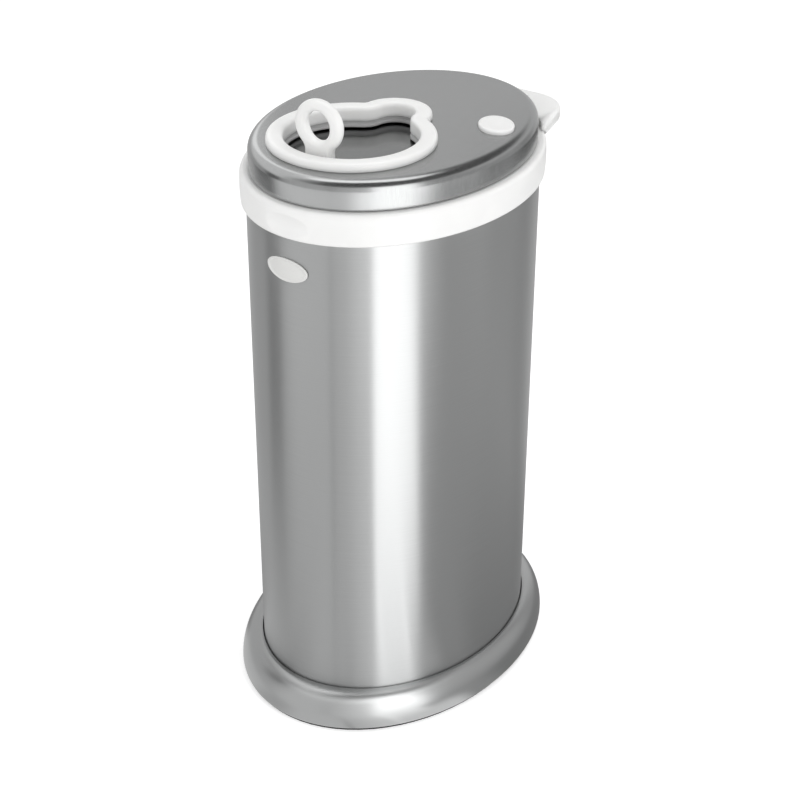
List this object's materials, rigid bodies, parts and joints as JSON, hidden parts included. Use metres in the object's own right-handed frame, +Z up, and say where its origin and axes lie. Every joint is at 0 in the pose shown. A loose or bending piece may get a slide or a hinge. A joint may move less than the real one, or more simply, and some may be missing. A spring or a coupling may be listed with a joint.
{
  "type": "nappy bin",
  "caption": "Tall oval steel nappy bin with a flared foot, a white collar, a hinged lid, and a door with a pull loop that slides under a round aperture.",
  "frame": {"origin": "on the floor at the centre of the body's oval", "axes": "+Z up, -Y to the front with the badge, +X to the bin's right as seen from the front, the side of the lock button"},
  "size_m": [0.271, 0.3546, 0.5952],
  "materials": {
    "stainless_steel": "satin, brushed",
    "white_plastic": "smooth, slightly glossy",
    "grey_plastic": "matt",
    "grey_rubber": "soft, matt",
    "black_rubber": "matt",
    "small_steel": "plain"
  },
  "bodies": {
    "bin": {"body_shell": "stainless_steel", "base_ring": "stainless_steel", "base_floor": "grey_plastic", "foot_ring": "black_rubber", "base_screws": "small_steel", "collar": "white_plastic", "bag_rim": "white_plastic", "badge": "white_plastic", "hinge_housing": "white_plastic", "hinge_pin": "small_steel", "housing_screws": "small_steel"},
    "lid": {"lid_shell": "stainless_steel", "lid_liner": "white_plastic", "lid_seal": "grey_rubber", "aperture_ring": "white_plastic", "ring_screws": "small_steel", "aperture_seal": "grey_rubber", "rail_left": "white_plastic", "rail_right": "white_plastic", "rail_screws": "small_steel", "lock_spring": "small_steel"},
    "door": {"door_plate": "stainless_steel", "door_tray": "white_plastic", "lock_catch": "small_steel", "pull_loop": "white_plastic", "loop_screws": "small_steel"},
    "button": {"lock_button": "white_plastic", "lock_pawl": "small_steel", "pawl_screw": "small_steel"}
  },
  "joints": [
    {"name": "lid_hinge", "type": "hinge", "parent": "bin", "child": "lid", "pos_m": [0, 0.1658, 0.52], "axis": [-1, 0, 0], "range_deg": [0, 90]},
    {"name": "door_slide", "type": "slide", "parent": "lid", "child": "door", "axis": [0, 1, 0], "range_m": [0, 0.1076]},
    {"name": "button_press", "type": "slide", "parent": "lid", "child": "button", "axis": [0, 0, -1], "range_m": [0, 0.003], "stiffness_N_per_m": 200, "springref_m": -0.0005, "deforming": ["lock_spring"]}
  ]
}
